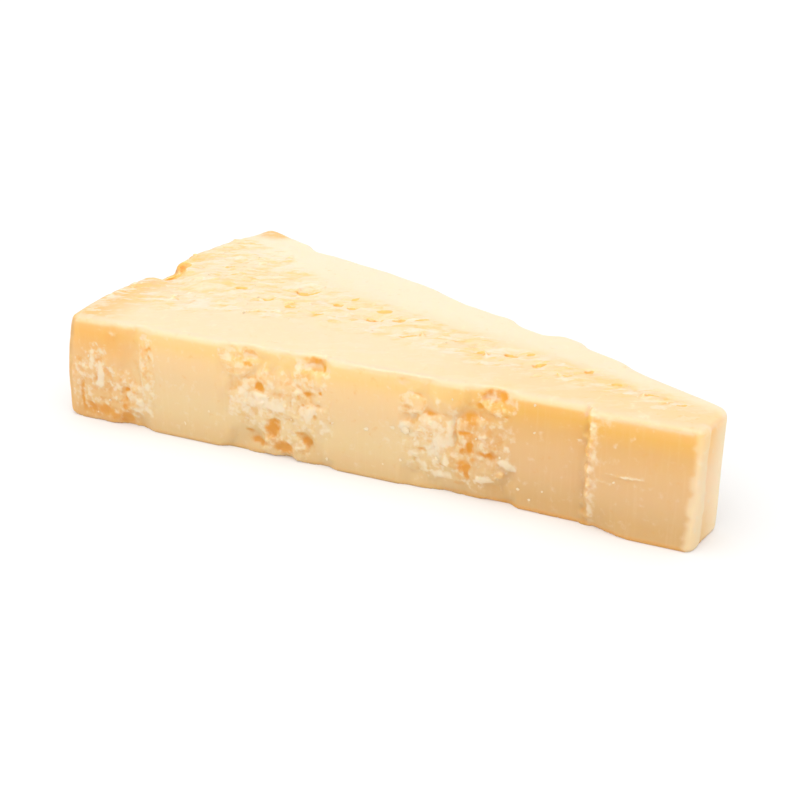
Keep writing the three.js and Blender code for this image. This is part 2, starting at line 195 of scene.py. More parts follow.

# Colours of the cut paste at heights above the table, along the wedge. Up each face they carry
# painted light and shade: darker towards the table with a painted orange glow along the foot, and a
# painted saturated band under the top edge, where light comes through from the top face
PASTE_LIGHT_AND_SHADE_COLOURS = {
    "rind end": [
        (0.3, "#dca663"), (1.5, "#d9aa6a"), (7.0, "#e1b97e"), (11.0, "#e3bb83"),
        (17.0, "#e7be84"), (22.0, "#ecb970"), (25.5, "#f0ba64"), (29.0, "#f1c57e")],
    "middle": [
        (0.3, "#dfb070"), (1.5, "#daba86"), (4.0, "#debe8b"), (7.0, "#e1c593"), (11.0, "#e4c897"),
        (17.0, "#e8c896"), (22.0, "#efcc96"), (25.5, "#f2ce8a"), (29.0, "#f1d393")],
    "narrow end": [
        (0.3, "#e5a552"), (1.5, "#d5ae76"), (4.0, "#d5ad73"), (7.0, "#d8b27c"), (11.0, "#deb783"),
        (17.0, "#e2b981"), (22.0, "#e4b672"), (25.5, "#ebb95f"), (29.0, "#f0c370")],
    "tip": [
        (0.3, "#dca25c"), (1.5, "#e6bc7b"), (5.0, "#e9c185"), (11.0, "#efca9a"),
        (17.0, "#f1cb9c"), (22.0, "#f4c585"), (29.0, "#f4c171")],
}
# Painted shade in its hollows: the saturated orange that light scattered inside the paste gives
# them, darker towards the table
HOLLOW_SHADE_COLOURS = [(1.5, "#db9e4a"), (13.0, "#e0972a"), (26.0, "#ecab3a")]
# Colours of its dry lumps and flecks, partly a painted highlight, darker towards the table as
# painted shade
PALE_AND_HIGHLIGHT_COLOURS = [(1.5, "#e6d5b4"), (13.0, "#e9d8bb"), (26.0, "#f3e1bf")]
# Colours of the worn edges of the front face, up the tip and along the top: paler, partly a painted
# highlight where light catches the rounded edges
BRINK_HIGHLIGHT_COLOURS = [(20.0, "#ecdab6"), (28.2, "#f3daaa"), (29.4, "#edccae")]

# Mesh fineness: of the first form, the pits and the finished wedge, and its triangles
BASE_VOXEL = 0.5
PIT_VOXEL = 0.2
FINE_VOXEL = 0.3
MOST_TRIANGLES = 196000
# Rounds of smoothing: of the first form and its splits, and those that give the surface around
# a small lump and around a deep crease
FORM_ROUNDS = 6
SPLIT_ROUNDS = 36
NEAR_ROUNDS = 12
WIDE_ROUNDS = 90
WEIGHT_STEPS = 40  # how finely a modifier's strength varies over a piece
# Heights above the table: the underside, and what is pressed flat onto it
UNDERSIDE = 0.02
PRESSED = 0.2

# Random places and shapes
CRUMB_SHAPES = 9
CRUMB_JITTER = 0.32  # how far the corners of a crumb of 1 mm radius are moved
WEDGE_SEED = 7
CRUMBS_SEED = 21
MOST_TRIES = 30000

# The photograph's view, worked out from the wedge's corners and straight edges
VIEW_CENTRE = (88.3, 15.0, 15.4)
VIEW_AZIMUTH = 24.88
VIEW_ELEVATION = 23.61
VIEW_DISTANCE = 326.0
LENS = 58.5
# Its light: one wide soft lamp high in front, and white walls all round
LIGHT_ELEVATION = 70.0
LIGHT_WIDTH = 90.0
LIGHT_ENERGY = 2.4
WALLS_ENERGY = 0.6
TABLE_WIDTH = 8000.0


def ramp(value, start, end):
    """0 before start, 1 after end, eased between them."""
    t = np.clip((value - start) / (end - start), 0.0, 1.0)
    return t * t * (3.0 - 2.0 * t)


def draw(i, j, k, channel):
    """A repeatable random number from 0 to 1 for each lattice point."""
    i, j, k = (np.bitwise_and(n, 0xFFFFFFFF).astype(np.uint32) for n in (i, j, k))
    h = i * np.uint32(374761393) ^ j * np.uint32(668265263) ^ k * np.uint32(2147483647)
    h = (h ^ np.uint32(channel * 1274126177 & 0xFFFFFFFF)) * np.uint32(1103515245)
    h = (h ^ (h >> np.uint32(15))) * np.uint32(2246822519)
    return (h ^ (h >> np.uint32(13))) / 4294967296.0


def bumps(x, y, z, size, channel):
    """Smooth noise from -1 to 1, bumps about size across. Each channel has its own."""
    at = np.stack(np.broadcast_arrays(x, y, z), axis=-1) / size
    cell = np.floor(at).astype(np.int64)
    ease = at - cell
    ease = ease * ease * (3.0 - 2.0 * ease)
    total = 0.0
    for nook in range(8):
        step = np.array([nook & 1, nook >> 1 & 1, nook >> 2])
        weight = np.prod(np.where(step == 1, ease, 1.0 - ease), axis=-1)
        i, j, k = np.moveaxis(cell + step, -1, 0)
        total = total + weight * draw(i, j, k, channel)
    return 2.0 * total - 1.0


def from_middle(across, along, oval):
    """How far a place is from the middle of an oval, where its outline is at 1."""
    middle_across, middle_along, half_across, half_along = oval
    return np.hypot((across - middle_across) / half_across, (along - middle_along) / half_along)


def zone_share(x, z, zones):
    """1 inside the split zones, 0 outside, with a ragged border."""
    ragged = 0.2 * bumps(x, 5.0, z, 4.5, 11) + 0.12 * bumps(x, 9.0, z, 1.7, 12)
    share = np.zeros_like(x)
    for zone in zones:
        share = np.maximum(share, 1.0 - ramp(from_middle(x, z, zone) + ragged, 0.6, 1.2))
    return share


def front_forms(x, z):
    """The lumps and hollows of the front face with ragged outlines, in millimetres."""
    wander_x = x + 0.3 * bumps(x, 4.0, z, 1.8, 21) + 0.25 * bumps(x, 4.0, z, 0.8, 22)
    wander_z = z + 0.3 * bumps(x, 8.0, z, 1.8, 23) + 0.25 * bumps(x, 8.0, z, 0.8, 24)
    total = np.zeros_like(x)
    for *oval, height in FRONT_FORMS:
        total += height * (1.0 - ramp(from_middle(wander_x, wander_z, oval), 0.0, 1.6))
    return np.clip(total, *MOST_FORMS)


def slot_share(x, y):
    """1 in the slots of the top face and on their walls, 0 elsewhere."""
    wander = y + 0.5 * bumps(x, y, 3.0, 1.4, 31) + 0.3 * bumps(x, y, 3.0, 0.7, 32)
    share = np.zeros_like(x)
    for middle_x, middle_y, half_length, half_width in TOP_SLOTS:
        along = (x - middle_x) * GRAIN[0] + (wander - middle_y) * GRAIN[1]
        across = (wander - middle_y) * GRAIN[0] - (x - middle_x) * GRAIN[1]
        out = np.hypot(along / half_length, across / half_width)
        share = np.maximum(share, 1.0 - ramp(out, 0.9, 1.5))
    return share


def back_line(x):
    """y of the back face, which is also the wedge's width there."""
    return RIND_WIDTH - TAPER * (x - RIND_CORNER_X)


def rim_line(y):
    """x of the rim's upper edge."""
    return (y - RIM_FARTHEST_Y) ** 2 / (2.0 * RIM_RADIUS) - RIM_REACH


def band_share(x, y):
    """The crumbly band along the middle of the top face, which widens towards the rind."""
    width = back_line(x)
    start, end = BAND_NARROWS
    narrowed = np.clip((x - start) / (end - start), 0.0, 1.0)
    half_width = (BAND_BY_RIND + (BAND_BEYOND - BAND_BY_RIND) * narrowed) * width
    ragged = 2.0 * bumps(x, y, 3.0, 6.0, 51) + 1.5 * bumps(x, y, 3.0, 2.5, 52)
    band = 1.0 - ramp(np.abs(y - 0.5 * width) + ragged, half_width - 2.0, half_width + 2.5)
    return band * ramp(FRONT_LENGTH - x, 3.0, 12.0)


class Surface:
    """Each vertex of a piece: its place in millimetres, and how far it belongs to what part."""

    def __init__(self, piece):
        count = len(piece.data.vertices)
        places = np.empty(count * 3, np.float32)
        piece.data.vertices.foreach_get("co", places)
        normals = np.empty(count * 3, np.float32)
        piece.data.vertex_normals.foreach_get("vector", normals)
        self.normals = normals.reshape(-1, 3).astype(float)
        self.places = (places.reshape(-1, 3) - np.array(corner)) / MM
        x, y, z = self.x, self.y, self.z = self.places.T
        away_x, away_y, away_z = self.normals.T
        behind_front = self.behind_front = y + STEP_OUT * ramp(x, STEP_X - 0.3, STEP_X + 0.3)
        behind_back = (back_line(x) - y) / math.hypot(1.0, TAPER)
        below_top = THICKNESS - z
        behind_rim = x - rim_line(y) + RIM_BELLY * (1.0 - (z / THICKNESS) ** 3)
        self.behind_rim = behind_rim

        # The faces, by place and by the way they look
        self.near_front = 1.0 - ramp(behind_front, *FRONT_SKIN)
        self.front = self.near_front * ramp(-away_y, -0.2, 0.3)
        self.front *= ramp(below_top, *UNDER_TOP) * ramp(behind_rim, 1.0, 2.0)
        to_back = BACK_WAY[0] * away_x + BACK_WAY[1] * away_y
        back = (1.0 - ramp(behind_back, *FRONT_SKIN)) * ramp(to_back, -0.2, 0.3)
        back *= ramp(below_top, *UNDER_TOP)
        self.top = (1.0 - ramp(below_top, *TOP_SKIN)) * ramp(away_z, 0.0, 0.35)
        self.rim = (1.0 - ramp(behind_rim, 1.5, 3.0)) * ramp(-away_x, 0.1, 0.5)
        self.tip = ramp(x, FRONT_LENGTH - 4.0, FRONT_LENGTH - 1.0) * ramp(away_x, 0.3, 0.7)

        # Where the paste split, and where grains can sit there, which is not under an overhang
        front_split = self.front * zone_share(x, z, FRONT_SPLITS)
        self.split = np.maximum(front_split, back * zone_share(x, z, BACK_SPLITS))
        self.loose = self.split * (1.0 - ramp(-away_z, 0.4, 0.8))
        self.band = self.top * band_share(x, y)

        # The front's worn upper edge, which is thinner and fainter past the step. A pale band is
        # painted along it, partly a painted highlight where light catches the rounded edge
        past_step = ramp(x, STEP_X - 2.0, STEP_X + 2.0)
        over, behind = 1.0 + 0.5 * past_step, 1.0 - 0.4 * past_step
        from_edge = np.hypot(below_top * over, behind_front * behind)
        self.brink_highlight = (1.0 - ramp(from_edge, 1.3, 2.6)) * ramp(behind_rim, 0.5, 3.0)
        self.brink_highlight *= 1.0 - 0.35 * past_step

        # Where pieces broke off: the chip in the rind with its floor, the slots between the flakes,
        # the edge of the step and the ragged edge of the tip
        in_chip = 1.0 - ramp(from_middle(x, y, CHIP), 0.8, 1.1)
        self.chip_floor = self.top * (1.0 - ramp(x, 2.5, 6.5)) * ramp(y, 34.5, 39.5)
        self.chip_floor *= 1.0 - ramp(y, 48.6, 50.0)
        chip_wall = in_chip * ramp(z, 20.0, 24.0) * (1.0 - ramp(away_z, 0.8, 0.97))
        beside_chip = 1.0 - ramp(from_middle(x, y, BESIDE_CHIP), 0.3, 1.2)
        self.chip = np.maximum(chip_wall, 0.7 * beside_chip * self.top)
        self.slot = slot_share(x, y) * (1.0 - ramp(below_top, *TOP_SKIN))
        self.flaky = self.band * (1.0 - in_chip) * (1.0 - self.slot)
        self.step = ramp(-away_y, 0.0, 0.3) * (1.0 - ramp(np.abs(x - STEP_X), 0.8, 1.8)) * (y < 6.0)
        ragged = 0.8 * bumps(5.0, 5.0, z, 3.5, 41)
        ragged_finely = 0.6 * bumps(5.0, 5.0, z, 1.2, 42)
        from_tip = FRONT_LENGTH - x + ragged + ragged_finely
        self.tip_edge = (1.0 - ramp(from_tip, 1.3, 2.9)) * (1.0 - ramp(y, 0.3, 1.6))


def active_only(piece):
    bpy.ops.object.select_all(action="DESELECT")
    piece.select_set(True)
    bpy.context.view_layer.objects.active = piece


def copy_of(node, name):
    """A loose copy of a CAD node, with its doubled vertices merged."""
    active_only(frame["nodes"][node])
    bpy.ops.object.duplicate()
    piece = bpy.context.active_object
    piece.name = name
    piece.data.name = name
    bpy.ops.object.parent_clear(type="CLEAR_KEEP_TRANSFORM")
    for key in list(piece.keys()):
        del piece[key]
    bpy.ops.object.mode_set(mode="EDIT")
    bpy.ops.mesh.select_all(action="SELECT")
    bpy.ops.mesh.remove_doubles(threshold=0.001 * MM)
    bpy.ops.object.mode_set(mode="OBJECT")
    return piece


def finish_with(piece, kind, **settings):
    """Adds a modifier with its settings and applies it."""
    active_only(piece)
    modifier = piece.modifiers.new(kind.title(), kind)
    for name, value in settings.items():
        setattr(modifier, name, value)
    bpy.ops.object.modifier_apply(modifier=modifier.name)


def finish_where(piece, weights, kind, **settings):
    """The same, as strongly at each vertex as the weights say."""
    group = piece.vertex_groups.new(name="where")
    steps = np.round(np.clip(weights, 0.0, 1.0) * WEIGHT_STEPS).astype(int)
    for step in range(1, WEIGHT_STEPS + 1):
        chosen = np.flatnonzero(steps == step)
        if len(chosen):
            group.add(chosen.tolist(), step / WEIGHT_STEPS, "REPLACE")
    finish_with(piece, kind, vertex_group=group.name, **settings)
    piece.vertex_groups.remove(piece.vertex_groups["where"])


def clouds(name, size, depth=2):
    """A texture of soft patches."""
    texture = bpy.data.textures.new(name, "CLOUDS")
    texture.noise_scale = size * MM
    texture.noise_depth = depth
    return texture


def cells(name, size):
    """A texture of rounded cells with creases between them."""
    texture = bpy.data.textures.new(name, "VORONOI")
    texture.noise_scale = size * MM
    return texture


def push(piece, weights, depth, texture=None, way="NORMAL"):
    """Moves the surface out by depth at most, or both in and out where a texture shapes it."""
    settings = {"strength": depth * MM, "direction": way, "mid_level": 0.0}
    if texture:
        settings.update(mid_level=0.5, texture=texture, texture_coords="LOCAL")
    finish_where(piece, weights, "DISPLACE", **settings)


def soften(piece, weights, rounds):
    """Rounds off sharp edges where the weights say so."""
    finish_where(piece, weights, "SMOOTH", factor=0.5, iterations=rounds)


def sculpt(piece, heights):
    """Raises or sinks the surface by its own height at each vertex, in millimetres."""
    for way in (1.0, -1.0):
        most = float(np.max(heights * way))
        push(piece, np.maximum(heights * way, 0.0) / most, most * way)


def remeshed(piece, voxel):
    """Makes the piece anew from small cubes, which also joins what overlaps."""
    finish_with(piece, "REMESH", mode="VOXEL", voxel_size=voxel * MM, use_smooth_shade=True)


def crumb_model(number, fineness):
    """One angular crumb, a millimetre in radius, as its vertices and faces."""
    bpy.ops.object.select_all(action="DESELECT")
    bpy.ops.mesh.primitive_ico_sphere_add(subdivisions=fineness, radius=MM)
    crumb = bpy.context.active_object
    bpy.ops.object.mode_set(mode="EDIT")
    bpy.ops.mesh.select_all(action="SELECT")
    jitter = CRUMB_JITTER * MM
    bpy.ops.transform.vertex_random(offset=jitter, uniform=0.4, normal=0.3, seed=number)
    bpy.ops.object.mode_set(mode="OBJECT")
    vertices = np.array([vertex.co for vertex in crumb.data.vertices])
    faces = np.array([face.vertices[:] for face in crumb.data.polygons])
    bpy.data.objects.remove(crumb)
    return vertices, faces


def scattered(name, models, spots):
    """One mesh of many crumbs: each spot says which model, where, how turned and how large."""
    vertices, faces, count = [], [], 0
    for number, place, turn, size in spots:
        shape, sides = models[number % len(models)]
        vertices.append((shape * np.array(size)) @ np.array(turn).T + np.array(place))
        faces.append(sides + count)
        count += len(shape)
    mesh = bpy.data.meshes.new(name)
    mesh.from_pydata(np.concatenate(vertices).tolist(), [], np.concatenate(faces).tolist())
    piece = bpy.data.objects.new(name, mesh)
    bpy.context.scene.collection.objects.link(piece)
    return piece


def spread(surface, likely, count, spacing, rng):
    """Picks vertices at random, more where they are likely, and none closer than the spacing."""
    order = rng.permutation(np.flatnonzero(rng.random(len(likely)) < likely))
    chosen, taken = [], {}
    for index in order[:MOST_TRIES]:
        place = surface.places[index]
        cell = tuple(np.floor(place / spacing).astype(int).tolist())
        close = False
        for near in range(27):
            other = (cell[0] + near % 3 - 1, cell[1] + near // 3 % 3 - 1, cell[2] + near // 9 - 1)
            if other in taken and math.dist(taken[other], place) < spacing:
                close = True
                break
        if not close:
            taken[cell] = place.tolist()
            chosen.append(index)
        if len(chosen) >= count:
            break
    return chosen


def turned(draws):
    """Any way round."""
    return Euler([draws.uniform(0.0, 2.0 * math.pi) for _ in range(3)]).to_matrix()


def lying(normal, draws, along=None):
    """Flat on the surface, turned any way round or with its length along a direction."""
    up = Vector(normal)
    if along is None:
        along = (draws.uniform(-1, 1), draws.uniform(-1, 1), draws.uniform(-1, 1))
    side = up.cross(Vector(along)).normalized()
    return Matrix((side.cross(up), side, up)).transposed()


def spots_on(surface, chosen, sizes, sink, draws, flat=None, along=None):
    """Crumbs on the chosen vertices, sunk into the paste by a share of their size. A flat one has
    its sides given as shares of its size, and lies on the surface."""
    spots = []
    for index in chosen:
        size = draws.uniform(*sizes)
        normal = surface.normals[index]
        if flat:
            shape = [size * side * draws.uniform(0.8, 1.25) for side in flat]
            turn = lying(normal, draws, along)
            depth = size * flat[2] * sink
        else:
            shape = [size * draws.uniform(0.75, 1.25) for _ in range(3)]
            turn = turned(draws)
            depth = size * sink
        place = np.array(corner) + (surface.places[index] - normal * depth) * MM
        spots.append((draws.randrange(99), place, turn, shape))
    return spots


def strewn(surface, likely, count, spacing, sizes, sink, dice, **lie):
    """Crumbs at random places, no more than the count. The dice are one source of chance for
    the places and one for the shapes."""
    rng, draws = dice
    chosen = spread(surface, likely, count, spacing, rng)
    return spots_on(surface, chosen, sizes, sink, draws, **lie)


def nearest(surface, share, **target):
    """The vertex of a face, given by its share, that is closest to a place on that face."""
    distance = np.zeros(len(share))
    for axis, value in target.items():
        distance += (getattr(surface, axis) - value) ** 2
    return int(np.argmin(np.where(share > 0.3, distance, np.inf)))


def slots(surface, draws):
    """The slots of the top face, each as three overlapping lumps to cut away."""
    spots = []
    for x, y, half_length, half_width in TOP_SLOTS:
        for way in (-0.6, 0.0, 0.6):
            along = way * half_length
            side = draws.uniform(-0.35, 0.35) * half_width
            at_x = x + along * GRAIN[0] - side * GRAIN[1]
            at_y = y + along * GRAIN[1] + side * GRAIN[0]
            index = nearest(surface, surface.top, x=at_x, y=at_y)
            place = np.array(corner) + surface.places[index] * MM
            turn = Matrix.Rotation(GRAIN_TURN + draws.uniform(-0.4, 0.4), 3, "Z")
            across = half_width * draws.uniform(0.6, 1.1)
            size = [half_length * 0.5, across, draws.uniform(0.4, 0.7)]
            spots.append((draws.randrange(99), place, turn, size))
    return spots


def shape_splits(wedge):
    """Softens the split zones, fills part of their depth and deepens the chip in the rind."""
    soften(wedge, Surface(wedge).loose, SPLIT_ROUNDS)
    surface = Surface(wedge)
    # The photograph's soft light shows the splits as shallow, and the top edge over the hollow as
    # straight, so both come out towards the front, the deeper the more
    hollow = 1.0 - ramp(from_middle(surface.x, surface.z, EDGE_HOLLOW), 0.6, 1.1)
    hollow *= ramp(-surface.normals[:, 1], 0.1, 0.5) * surface.near_front
    filled = surface.loose * surface.front * (1.0 - ramp(surface.z, 24.0, 27.5))
    filled = np.maximum(filled, hollow) * np.clip(surface.behind_front / FILLED_DEPTH, 0.0, 1.0)
    push(wedge, filled, -FILLED_SHARE * FILLED_DEPTH, way="Y")
    push(wedge, surface.chip_floor, -CHIP_DEEPER)


def shape_relief(wedge):
    """Shapes the crags and lumps of the splits, the ragged edges, the flakes and the rind."""
    surface = Surface(wedge)
    x, y, z = surface.x, surface.y, surface.z
    crags = surface.loose * (0.25 * bumps(x, y, z, 3.6, 61) + 0.2 * bumps(x, y, z, 1.6, 62))
    forms = surface.front * (1.0 - ramp(-surface.normals[:, 2], 0.4, 0.8)) * front_forms(x, z)
    forms *= np.where(forms > 0.0, LUMP_SHARE, HOLLOW_SHARE)
    edges = surface.step * 0.6 * bumps(x, y, z, 1.5, 71)
    edges += surface.tip_edge * (0.2 + 0.2 * bumps(x, y, z, 1.6, 72))
    sculpt(wedge, crags + forms + edges)
    push(wedge, surface.loose, 0.3, cells("lumps", 1.3))
    push(wedge, surface.flaky, 0.25, cells("flakes", 1.8))
    push(wedge, surface.rim, 0.5, clouds("rind_waves", 7.0))


def cut_pits(wedge, models, dice):
    """Cuts the slots of the top face, and pits between the grains and the flakes."""
    surface = Surface(wedge)
    loose, flaky = surface.loose * 0.8, surface.flaky * 0.5
    holes = slots(surface, dice[1])
    holes += strewn(surface, loose, 40, 3.0, (0.25, 0.45), 0.2, dice)
    slit = {"flat": (2.0, 0.8, 0.7), "along": GRAIN}
    holes += strewn(surface, flaky, 90, 2.2, (0.25, 0.5), 0.1, dice, **slit)
    pits = scattered("pits", models, holes)
    remeshed(pits, PIT_VOXEL)
    finish_with(wedge, "BOOLEAN", operation="DIFFERENCE", object=pits, solver="MANIFOLD")
    bpy.data.objects.remove(pits)


def add_grains(wedge, models, dice):
    """Joins large and small grains, flakes and the crumbs along the step to the wedge."""
    surface = Surface(wedge)
    loose, flaky = surface.loose * 0.8, surface.flaky * 0.5
    along_step = surface.step * ramp(surface.x, STEP_X - 0.3, STEP_X + 0.3)
    lumps = strewn(surface, loose, 40, 3.6, (0.8, 1.3), 0.85, dice)
    lumps += strewn(surface, loose, 160, 1.8, (0.4, 0.7), 0.7, dice)
    flake = {"flat": (1.6, 0.8, 0.3), "along": GRAIN}
    lumps += strewn(surface, flaky, 200, 2.0, (0.5, 1.1), 0.5, dice, **flake)
    lumps += strewn(surface, along_step, 22, 1.1, (0.4, 0.7), 0.5, dice)
    grains = scattered("grains", models, above_table(lumps))
    active_only(wedge)
    grains.select_set(True)
    bpy.ops.object.join()
    remeshed(wedge, FINE_VOXEL)


def build_wedge(models):
    """The whole wedge, from the CAD solid's form down to its grain."""
    wedge = copy_of("cheese_wedge", "cheese_paste_wedge")
    remeshed(wedge, BASE_VOXEL)
    finish_with(wedge, "SMOOTH", factor=0.5, iterations=FORM_ROUNDS)
    shape_splits(wedge)
    shape_relief(wedge)
    # Holes first, so that grains can lie over their edges
    dice = np.random.default_rng(WEDGE_SEED), random.Random(WEDGE_SEED)
    cut_pits(wedge, models, dice)
    add_grains(wedge, models, dice)

    # The finest grain, which also shows on the top face by the rind
    surface = Surface(wedge)
    soften(wedge, np.maximum(surface.loose, surface.band), 2)
    rough = np.maximum(surface.loose, 0.5 * surface.band)
    rough = np.maximum(rough, 0.4 * surface.top * (1.0 - ramp(surface.x, 20.0, 40.0)))
    push(wedge, rough, 0.1, clouds("fine_grains", 0.9, 1))
    level_underside(wedge)
    triangles = sum(len(face.vertices) - 2 for face in wedge.data.polygons)
    ratio = MOST_TRIANGLES / triangles
    finish_with(wedge, "DECIMATE", ratio=ratio, use_collapse_triangulate=True)
    active_only(wedge)
    bpy.ops.object.shade_smooth()
    return wedge


def above_table(spots):
    """Leaves out the crumbs that would reach into the table."""
    lowest = low.z + PRESSED * MM
    return [spot for spot in spots if spot[1][2] - max(spot[3]) * MM > lowest]


def level_underside(piece):
    """Presses the underside flat, level with the table."""
    surface = Surface(piece)
    active_only(piece)
    bpy.ops.object.mode_set(mode="EDIT")
    bpy.ops.mesh.select_all(action="DESELECT")
    bpy.ops.object.mode_set(mode="OBJECT")
    piece.data.vertices.foreach_set("select", surface.z < PRESSED)
    bpy.ops.object.mode_set(mode="EDIT")
    level = (0.0, 0.0, low.z + UNDERSIDE * MM)
    bpy.ops.transform.resize(value=(1.0, 1.0, 0.0), center_override=level)
    bpy.ops.object.mode_set(mode="OBJECT")


def build_stuck_crumbs(wedge, models):
    """Loose crumbs on the cut strips, in the splits and on the top face."""
    surface = Surface(wedge)
    dice = np.random.default_rng(CRUMBS_SEED), random.Random(CRUMBS_SEED)
    spots = []
    for x, z, radius in STUCK_CRUMBS:
        index = nearest(surface, surface.front, x=x, z=z)
        spots += spots_on(surface, [index], (radius, radius), 0.4, dice[1], (1.3, 1.0, 0.4))
    inner = surface.loose * ramp(surface.z, 1.5, 2.5)
    spots += strewn(surface, inner * 0.6, 25, 1.6, (0.3, 0.5), 0.5, dice)
    spots += strewn(surface, surface.flaky * 0.3, 50, 2.0, (0.3, 0.5), 0.4, dice)
    return scattered("stuck_crumbs", models, above_table(spots))


def stands_out(piece, surface, rounds):
    """How far each vertex stands out of the surface smoothed around it, in millimetres."""
    edges = np.empty(len(piece.data.edges) * 2, np.int32)
    piece.data.edges.foreach_get("vertices", edges)
    one, other = edges.reshape(-1, 2).T
    count = len(surface.places)
    neighbours = np.bincount(one, minlength=count) + np.bincount(other, minlength=count)
    neighbours = np.maximum(neighbours, 1)
    smooth = surface.places.copy()
    for _ in range(rounds):
        for axis in range(3):
            line = smooth[:, axis]
            total = np.bincount(one, line[other], count) + np.bincount(other, line[one], count)
            smooth[:, axis] = 0.4 * line + 0.6 * total / neighbours
    return np.sum((surface.places - smooth) * surface.normals, axis=1)


def mark(piece):
    """Notes at each vertex what the paste's material needs to know. Returns the notes' names."""
    surface = Surface(piece)
    x, y, z = surface.x, surface.y, surface.z
    # Along the step, painted shade darkens the crevice, and then a painted highlight makes the
    # shoulder of the proud strip pale; the ragged tip edge gets a little painted highlight too
    crevice_shade = ramp(x, STEP_X - 1.2, STEP_X - 0.2) * (1.0 - ramp(x, STEP_X + 0.1, STEP_X + 0.7))
    crevice_shade *= surface.step
    shoulder_highlight = surface.front * ramp(x, STEP_X + 0.2, STEP_X + 0.8)
    shoulder_highlight *= 1.0 - ramp(x, STEP_X + 1.5, STEP_X + 4.0)
    form = surface.near_front * front_forms(x, z)
    form += 0.4 * shoulder_highlight + 0.1 * surface.tip_edge - 0.4 * crevice_shade
    # The top face is warmer by the rind and at its back corner, and whiter towards the back
    from_corner = np.hypot(x - BACK_CORNER[0], y - BACK_CORNER[1])
    back_corner = 1.0 - ramp(from_corner, 3.0, 10.0)
    warm = (1.0 - ramp(surface.behind_rim, 4.0, 18.0)) * (1.0 - 0.8 * ramp(y, 26.0, 46.0))
    whiter = ramp(y / back_line(x), 0.6, 0.85) * (1.0 - back_corner)
    notes = {
        "form": form,
        "slot": np.maximum(surface.slot, 0.8 * surface.chip),
        "brink_highlight": np.maximum(surface.brink_highlight, 0.8 * surface.tip_edge),
        "warm": np.maximum(warm, back_corner) - 0.6 * whiter,
        "proud": stands_out(piece, surface, NEAR_ROUNDS),
        "sunk": -stands_out(piece, surface, WIDE_ROUNDS),
        "split": surface.split,
        "top": surface.top,
        "band": surface.band,
        "rind": surface.rim,
        "tip": surface.tip,
    }
    for name, values in notes.items():
        attribute = piece.data.attributes.new(name, "FLOAT", "POINT")
        attribute.data.foreach_set("value", np.ascontiguousarray(values, np.float32))
    return list(notes)


def srgb(code):
    """A hex colour as the linear colour that a shader takes."""
    colour = []
    for n in (1, 3, 5):
        part = int(code[n:n + 2], 16) / 255.0
        colour.append(part / 12.92 if part <= 0.04045 else ((part + 0.055) / 1.055) ** 2.4)
    return colour + [1.0]


def new_material(name):
    """An empty material and its node tree."""
    material = bpy.data.materials.new(name)
    material.use_nodes = True
    material.node_tree.nodes.clear()
    return material, material.node_tree


def add(tree, kind, inputs=None, **settings):
    """Adds one node with its settings. An input is a value, a hex colour, or the node or socket
    that feeds it. Inputs go by name or number: a Map Range takes its value at 0, its old limits at
    1 and 2 and its new ones at 3 and 4, where 0 and 1 are usual. A Mix takes its share at 0, two
    numbers at 2 and 3, or two colours at 6 and 7."""
    node = tree.nodes.new(kind)
    for name, value in settings.items():
        setattr(node, name, value)
    for key, value in (inputs or {}).items():
        if isinstance(value, bpy.types.Node):
            value = next(socket for socket in value.outputs if socket.enabled)
        if isinstance(value, bpy.types.NodeSocket):
            tree.links.new(value, node.inputs[key])
        else:
            node.inputs[key].default_value = srgb(value) if isinstance(value, str) else value
    return node


